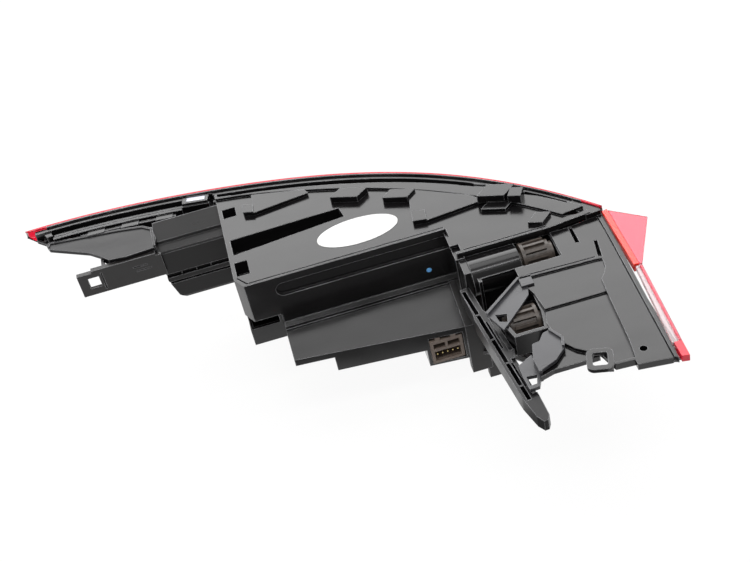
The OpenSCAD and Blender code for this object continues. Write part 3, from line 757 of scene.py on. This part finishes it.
OPTICS = (
    Optic("tail_flutes", (-150.0, 60.0), (0.2, 0.46), "red", "red_lens"),
    Optic("stop_flutes", (-110.0, 58.0), (0.54, 0.86), "red", "red_lens", 8.0, 1.5),
    Optic("reversing_flutes", (72.0, 150.0), (0.42, 0.8), "clear", "clear_lens", 6.0, 1.2),
)


@dataclass(frozen=True)
class EdgeLip:
    """A lip of housing over the lens's near edge: its place and cells on the lens grid."""

    x_ends: tuple[float, float] = (84.0, 130.0)
    v_ends: tuple[float, float] = (0.88, 1.0)
    cells: tuple[int, int] = (46, 12)
    insets_mm: tuple[float, float] = (-0.35, 3.2)


@dataclass(frozen=True)
class Strip:
    """A thin plate of lens seen edge on: its plan and heights in panel millimetres."""

    name: str
    plan: tuple[tuple[float, float], ...]
    z_ends: tuple[float, float]
    finish: str
    slot: str


CORNER_FIN = Strip(
    "corner_fin", ((192.9, -30.6), (216, -50), (194.4, -95.6), (192.2, -95.6)), (-3.6, -2.0),
    "fin", "fin_lens",
)
STRIPS = (
    Strip(
        "fin_root", ((188.3, -31), (192.6, -29.8), (192.0, -96), (188.0, -96)), (-8, -1.2),
        "rim_painted_lit", "red_lens",
    ),
    Strip(
        "strip_outer", ((191.8, -97), (193.8, -96), (189.8, -177), (188.2, -177)), (-5, -1.6),
        "fin", "red_lens",
    ),
    Strip(
        "strip_clear", ((188.8, -97), (191.4, -97), (187.6, -177), (183.6, -177)), (-6, -2),
        "clear_edge", "clear_lens",
    ),
    Strip(
        "tip_red", ((184.2, -177), (189.8, -177), (189.2, -192), (184, -191)), (-7, -1.6),
        "rim", "red_lens",
    ),
)
STRIP_EDGE_M = 0.0004


@dataclass
class LensAssembly:
    """The wrap-round lens: its shells, the optics behind them, and its edges and fin."""

    finishes: Finishes
    form: LensForm = field(default_factory=LensForm)
    refine: int = 4
    cells: tuple[int, int] = (34, 16)
    clear_from: tuple[int, int, int] = (25, 6, 14)
    edge_cells: int = 2
    lip: EdgeLip = EdgeLip()

    def build(self) -> None:
        """Builds the shells, the optics behind them, the near lip and the edge pieces."""
        self.shells()
        for optic in OPTICS:
            self.optic(optic)
        self.near_lip()
        self.fin()

    def sheet(
        self, name: str, x: np.ndarray, v: np.ndarray, insets: tuple, finish: str
    ) -> None:
        """Builds a closed sheet that follows the lens.

        Args:
            name: The piece's name.
            x: Places along the lamp, as a column.
            v: Places round the section, as a row.
            insets: Distances of its front and its back inside the outer surface, each a
                number or one for every pair of x and v.
            finish: Name of its finish.
        """
        walls = [self.form.points(x, v, inset).reshape(-1, 3) for inset in insets]
        keep = np.ones((x.size - 1, v.size - 1), dtype=bool)
        points = to_row(np.concatenate(walls))
        fix_normals(make_piece(name, points, skin_faces(keep), self.finishes.get(finish)))

    def near_lip(self) -> None:
        """The black lip over the lens's near edge beside the lower bulb pocket.

        The photograph doesn't show it: it hides red lens that reaches too far there.
        """
        x = np.linspace(*self.lip.x_ends, self.lip.cells[0] + 1)[:, None]
        v = np.linspace(*self.lip.v_ends, self.lip.cells[1] + 1)[None, :]
        self.sheet("near_lip", x, v, self.lip.insets_mm, "dull")

    def optic(self, optic: Optic) -> None:
        """Builds one fluted sheet just inside the shell."""
        flutes = round((optic.x_ends[1] - optic.x_ends[0]) / optic.pitch_mm)
        x = np.linspace(*optic.x_ends, flutes * optic.steps_per_flute + 1)[:, None]
        v = np.linspace(*optic.v_ends, optic.points_round)[None, :]
        phase = (x - optic.x_ends[0]) / optic.pitch_mm
        rise = optic.depth_mm * np.abs(np.sin(np.pi * phase)) + 0 * v
        insets = (optic.inset_mm - rise, optic.inset_mm + optic.sheet_mm)
        self.sheet(optic.name, x, v, insets, optic.finish)
        LOG.info("%s: %d flutes", optic.name, flutes)

    def grid(self, inset: float, inner: bool) -> np.ndarray:
        """The lens grid at one depth inside the outer surface, as a flat list of points."""
        x = self.form.stations(self.cells[0] * self.refine)
        if inner:
            x = self.form.inner_x(x)
        v = np.linspace(0, 1, self.cells[1] * self.refine + 1)
        return self.form.points(x[:, None], v[None, :], inset).reshape(-1, 3)

    def shells(self) -> None:
        """The red shell and the clear window, cut from one lofted skin."""
        rows, cols = (c * self.refine for c in self.cells)
        i, j = np.meshgrid(np.arange(rows), np.arange(cols), indexing="ij")
        start, j0, j1 = (k * self.refine for k in self.clear_from)
        clear = (i >= start) & (j >= j0) & (j < j1)
        points = np.concatenate([self.grid(0.0, False), self.grid(self.form.wall_mm, True)])
        rim = (j < self.edge_cells) & ~clear
        for name, keep, finish, slot in (
            ("lens_red_shell", ~clear & ~rim, "red", "red_lens"),
            ("lens_red_edge", rim, "rim", "red_lens"),
            ("lens_clear_shell", clear, "clear", "clear_lens"),
        ):
            faces = skin_faces(keep)
            piece = make_piece(name, to_row(points), faces, self.finishes.get(finish))
            fix_normals(piece)
            if name != "lens_red_edge":
                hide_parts("lens_red" if slot == "red_lens" else "lens_clear")
            LOG.info("%s: %d faces", name, len(piece.data.polygons))

    def prism(self, strip: Strip) -> bpy.types.Object:
        """A thin plate with a plan outline and a rounded edge.

        Args:
            strip: The plate.

        Returns:
            The new piece.
        """
        plan = np.array(strip.plan, dtype=float)
        n = len(plan)
        low, high = (np.column_stack([plan, np.full(n, z)]) for z in strip.z_ends)
        k = np.arange(n)
        sides = np.stack([k, (k + 1) % n, (k + 1) % n + n, k + n], 1).tolist()
        faces = sides + [list(range(n - 1, -1, -1)), list(range(n, 2 * n))]
        mesh = bpy.data.meshes.new(strip.name)
        mesh.from_pydata(to_row(np.concatenate([low, high])).tolist(), [], faces)
        mesh.materials.append(self.finishes.get(strip.finish))
        piece = place_piece(strip.name, mesh)
        fix_normals(piece)
        bevel = piece.modifiers.new("rounded_edge", "BEVEL")
        bevel.width = STRIP_EDGE_M
        bevel.segments = 3
        bevel.limit_method = "ANGLE"
        return piece

    def fin(self) -> None:
        """The corner fin and the strips of lens that show beside the right plate."""
        fin = self.prism(CORNER_FIN)
        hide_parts("lens_fin")
        for strip in STRIPS:
            self.prism(strip)


def along_edge(section: list, x_ends: tuple[float, float], steps: int = 96) -> tuple:
    """A bar that follows the long edge: its points and faces.

    Args:
        section: Corners, each an offset inside the long edge and a height, in millimetres;
            an offset may be a function of x.
        x_ends: Where the bar starts and ends.
        steps: Number of lengths.

    Returns:
        Row-frame points and the faces of the closed bar.
    """
    x = np.linspace(*x_ends, steps + 1)
    rings = []
    for offset, height in section:
        inside = offset(x) if callable(offset) else np.full_like(x, offset)
        rings.append(np.stack([x, LensForm.far_y(x) - inside, np.full_like(x, height)], -1))
    points = np.stack(rings, 1)
    n = len(section)
    k = np.arange(steps)[:, None] * n
    j = np.arange(n)[None, :]
    after = (j + 1) % n
    sides = np.stack([k + j, k + after, k + n + after, k + n + j], -1).reshape(-1, 4).tolist()
    caps = [list(range(n))[::-1], [steps * n + i for i in range(n)]]
    return to_row(points.reshape(-1, 3)), sides + caps


def solid_object(name: str, points: np.ndarray, faces: list) -> bpy.types.Object:
    """A loose helper solid with its faces turned outwards."""
    mesh = bpy.data.meshes.new(name)
    mesh.from_pydata(np.asarray(points, dtype=float).tolist(), [], faces)
    helper = place_object(name, mesh)
    fix_normals(helper)
    return helper


def copy_solid(node: bpy.types.Object) -> bpy.types.Object:
    """A welded copy of a CAD node, which itself stays as it is."""
    helper = place_object(f"copy_{node.name}", node.data.copy())
    fix_normals(helper)
    return helper


def combine(
    name: str, base: bpy.types.Object, others: list, operation: str, material: bpy.types.Material
) -> bpy.types.Object:
    """Joins or cuts solids into one new piece and removes the helpers.

    Args:
        name: The new piece's name.
        base: The helper that is changed.
        others: Helpers that are joined to it or cut from it.
        operation: UNION or DIFFERENCE.
        material: The piece's finish.

    Returns:
        The new piece, riding on the lamp.
    """
    for other in others:
        step = base.modifiers.new(other.name, "BOOLEAN")
        step.operation = operation
        step.solver = "EXACT"
        step.object = other
    bpy.context.view_layer.update()
    evaluated = base.evaluated_get(bpy.context.evaluated_depsgraph_get())
    mesh = bpy.data.meshes.new_from_object(evaluated)
    mesh.name = name
    for helper in (base, *others):
        bpy.data.objects.remove(helper)
    mesh.materials.clear()
    mesh.materials.append(material)
    mesh.polygons.foreach_set("material_index", np.zeros(len(mesh.polygons), dtype=np.int32))
    mesh.shade_flat()
    piece = place_piece(name, mesh)
    LOG.info("%s: %d faces", name, len(mesh.polygons))
    return piece


# The channel beside the raised band, cut open along two lengths, and the lip on the lens's
# long edge: places along X, offsets inside that edge and heights, in millimetres
CHANNEL_LENGTHS = ((-82.0, 111.0), (143.0, 168.0))
CHANNEL_START = 10.9
CHANNEL_HEIGHTS = (-6.0, 5.0)
BAND_SIDE_X = (-84, -60, 30, 110, 160)
BAND_SIDE_OFFSETS = (15.2, 15.4, 17.0, 16.3, 14.0)
WELD_LIP = [(2.0, 0.62), (2.62, 0.62), (2.62, -0.8), (3.1, -0.8), (3.1, 0.85), (2.0, 0.85)]
WELD_LIP_ENDS = (-222.0, 178.0)


def band_side(x: np.ndarray) -> np.ndarray:
    """How far inside the long edge the raised band's near side lies."""
    return np.interp(x, BAND_SIDE_X, BAND_SIDE_OFFSETS)


@dataclass
class Housing:
    """The moulded back: its CAD nodes, dressed, and the regions moulded in one."""

    finishes: Finishes
    nodes: dict[str, bpy.types.Object]
    dress: dict[str, str] = field(
        default_factory=lambda: {
            "rim_frame": "housing", "back_panel": "housing", "edge_clips": "housing",
            "back_tabs": "housing", "left_chamber": "shaded", "end_cover": "cover",
            "end_channel": "housing", "clip_bracket": "dull", "left_bay": "housing",
            "middle_bay": "housing", "connector_bay": "housing", "tall_bay": "dull",
            "side_box": "housing", "right_plate": "housing", "bulb_sleeve": "housing",
            "holder_pocket": "housing", "near_flange": "dull", "mounting_arm": "cover",
            "upper_strap": "strap", "lower_strap": "strap", "locating_loop": "housing",
            "inner_bezel": "bezel",
            "reflector_stop": "metal", "reflector_reverse": "metal", "holder_upper": "holder",
            "holder_lower": "holder", "bulb_stop": "bulb", "bulb_reverse": "bulb",
            "connector_shell": "socket", "connector_pins": "brass", "light_guide": "guide",
            "reflex_reflector": "prism", "rim_pad": "foam", "seal_cord": "butyl",
            "oval_label": "paper", "paint_dot": "paint",
        }
    )

    def build(self) -> None:
        """Dresses the CAD nodes, and builds the pieces that take the place of four of them."""
        for name, finish in self.dress.items():
            dress_node(self.nodes[name], self.finishes.get(finish))
            LOG.info("%s dressed as %s", name, finish)
        self.bays()
        self.rim()

    def bays(self) -> None:
        """The lower bays are one moulding, so no seam shows between them."""
        names = ("left_bay", "middle_bay", "connector_bay")
        first, *rest = [copy_solid(self.nodes[n]) for n in names]
        piece = combine("lower_bays", first, rest, "UNION", self.finishes.get("housing"))
        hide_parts(*names)

    def rim(self) -> None:
        """The rim with its channel open towards the band, and the lip on the lens edge."""
        low, high = CHANNEL_HEIGHTS
        near, far = CHANNEL_START, band_side
        section = [(near, low), (far, low), (far, high), (near, high)]
        cutters = [
            solid_object(f"cutter_{number}", *along_edge(section, ends))
            for number, ends in enumerate(CHANNEL_LENGTHS)
        ]
        rim = combine(
            "rim_with_channel",
            copy_solid(self.nodes["rim_frame"]),
            cutters,
            "DIFFERENCE",
            self.finishes.get("housing"),
        )
        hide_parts("rim_frame")
        points, faces = along_edge(WELD_LIP, WELD_LIP_ENDS)
        gloss = self.finishes.get("housing")
        fix_normals(make_piece("weld_lip", points, faces, gloss, smooth=False))


@dataclass(frozen=True)
class Softbox:
    """A rectangular soft light: where it is, the point it faces, its size and its brightness.

    Lengths are in metres; a radiance of 1 is seen as white.
    """

    name: str
    place: tuple[float, float, float]
    aim: tuple[float, float, float]
    size: tuple[float, float]
    radiance: float

    def build(self) -> None:
        """Places the light."""
        data = bpy.data.lights.new(self.name, "AREA")
        data.shape = "RECTANGLE"
        data.size, data.size_y = self.size
        data.energy = self.radiance * math.pi * self.size[0] * self.size[1]
        light = place_object(self.name, data)
        light.location = self.place
        direction = Vector(self.aim) - Vector(self.place)
        light.rotation_euler = direction.to_track_quat("-Z", "Y").to_euler()


# A bright box behind the lamp, which its level faces mirror, a strip at each side, a weaker box
# overhead and a narrow strip above its near side
SOFTBOXES = (
    Softbox("softbox_far", (0.25, 1.4, 1.1), (0.15, 0.0, 0.0), (2.8, 1.2), 3.6),
    Softbox("strip_left", (-1.5, 0.1, 0.9), (0.1, 0.0, 0.0), (0.5, 1.8), 1.6),
    Softbox("strip_right", (1.7, 0.1, 0.9), (0.1, 0.0, 0.0), (0.5, 1.8), 1.2),
    Softbox("softbox_overhead", (0.15, 0.5, 1.9), (0.12, -0.05, 0.0), (2.0, 1.0), 2.2),
    Softbox("strip_near", (0.15, -0.75, 1.9), (0.12, -0.05, 0.0), (2.4, 0.3), 9.0),
)


@dataclass(frozen=True)
class FloorLook:
    """The floor's brightness, and a painted dark patch in its glow before the lamp, seen only in
    reflections, which makes upright faces mirror darker.

    Each pair is the two ends of a soft border, in metres of the row's frame.
    """

    paper: str = "#dcdcdc"
    glow: float = 1.04
    glow_share: float = 0.9
    near_border: tuple[float, float] = (-0.185, -0.165)
    left_border: tuple[float, float] = (0.05, 0.09)
    right_border: tuple[float, float] = (0.28, 0.31)
    # Glow of the painted dark patch, seen only in reflections
    dark_level: float = 0.12

    def level(
        self, tree: bpy.types.NodeTree, direct: bpy.types.NodeSocket
    ) -> bpy.types.NodeSocket:
        """How brightly the floor glows at each place.

        Args:
            tree: The floor's node tree.
            direct: 1 for rays that see the floor itself or through the lens, which see no
                dark area.

        Returns:
            The strength of the glow.
        """
        place = add_node(tree, "ShaderNodeTexCoord").outputs["Object"]
        axes = add_node(tree, "ShaderNodeSeparateXYZ", links={0: place}).outputs
        near = remap(tree, axes["Y"], self.near_border, (self.dark_level, 1.0))
        left = remap(tree, axes["X"], self.left_border, (1.0, 0.0))
        right = remap(tree, axes["X"], self.right_border)
        bright = fold(tree, "MAXIMUM", near, direct, left, right)
        return fold(tree, "MULTIPLY", bright, self.glow)

    def build(self) -> bpy.types.Material:
        """Builds the floor's material.

        Returns:
            The finished material.
        """
        material, tree = new_tree("pale_floor")
        rays = add_node(tree, "ShaderNodeLightPath").outputs
        direct = fold(tree, "MAXIMUM", rays["Is Camera Ray"], rays["Is Transmission Ray"])
        seen = fold(tree, "MAXIMUM", direct, rays["Is Glossy Ray"])
        paper = add_node(tree, "ShaderNodeBsdfDiffuse", inputs={"Color": linear(self.paper)})
        glow = add_node(
            tree,
            "ShaderNodeEmission",
            inputs={"Color": WHITE},
            links={"Strength": self.level(tree, direct)},
        )
        share = fold(tree, "MULTIPLY", seen, self.glow_share)
        mix = add_node(
            tree,
            "ShaderNodeMixShader",
            links={0: share, 1: paper.outputs[0], 2: glow.outputs[0]},
        )
        add_node(tree, "ShaderNodeOutputMaterial", links={"Surface": mix.outputs[0]})
        return material


@dataclass
class Studio:
    """Pale floor, soft lights and the photograph's camera."""

    floor_z: float
    floor_half: float = 6.0
    look: FloorLook = FloorLook()
    focal_px: float = 1353.0
    frame_px: tuple[int, int] = (750, 562)
    camera_at: tuple[float, float, float] = (0.1336, -0.8586, 0.6481)
    camera_right: tuple[float, float, float] = (0.9593, -0.2181, -0.1797)
    camera_up: tuple[float, float, float] = (0.2776, 0.6091, 0.7429)
    camera_back: tuple[float, float, float] = (-0.0526, -0.7625, 0.6449)
    surround: tuple[float, float] = (0.3, 1.0)

    def build(self) -> None:
        """Builds the floor, the lights, the world and the camera."""
        self.floor()
        for softbox in SOFTBOXES:
            softbox.build()
        self.world()
        self.camera()
        bpy.context.scene.view_settings.view_transform = "Standard"

    def floor(self) -> None:
        """A pale sheet under the lamp, white to the camera and still shadowed, with a painted dark
        patch that only its reflections show.
        """
        half = self.floor_half
        mesh = bpy.data.meshes.new("studio_floor")
        corners = [(-half, -half), (half, -half), (half, half), (-half, half)]
        mesh.from_pydata([(x, y, self.floor_z) for x, y in corners], [], [(0, 1, 2, 3)])
        floor = place_object("studio_floor", mesh)
        mesh.materials.append(self.look.build())
        floor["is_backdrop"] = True

    def world(self) -> None:
        """A soft surround, dimmer to the lamp than to the camera, which sees it as white."""
        world = bpy.data.worlds.new("studio_surround")
        world.use_nodes = True
        tree = world.node_tree
        tree.nodes.clear()
        rays = add_node(tree, "ShaderNodeLightPath").outputs
        surround = add_node(
            tree,
            "ShaderNodeBackground",
            inputs={"Color": WHITE},
            links={"Strength": remap(tree, rays["Is Camera Ray"], (0.0, 1.0), self.surround)},
        )
        add_node(tree, "ShaderNodeOutputWorld", links={"Surface": surround.outputs[0]})
        bpy.context.scene.world = world

    def camera(self) -> None:
        """The photograph's camera, solved from the lamp's own right angles."""
        data = bpy.data.cameras.new("photo_camera")
        data.sensor_fit = "HORIZONTAL"
        data.sensor_width = 36.0
        data.lens = self.focal_px / self.frame_px[0] * data.sensor_width
        data.clip_end = 50.0
        camera = place_object("photo_camera", data)
        axes = (self.camera_right, self.camera_up, self.camera_back)
        turn = Matrix(axes).transposed().to_quaternion()
        camera.rotation_euler = turn.to_euler()
        camera.location = self.camera_at
        bpy.context.scene.camera = camera


def main() -> None:
    """Builds the lamp's looks and the studio, and reports each piece."""
    logging.basicConfig(level=logging.INFO, format="%(name)s: %(message)s")
    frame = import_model()
    finishes = Finishes()
    Housing(finishes, frame["nodes"]).build()
    LensAssembly(finishes).build()
    Studio(floor_z=float(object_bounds()[0][2])).build()


if __name__ == "__main__":
    main()
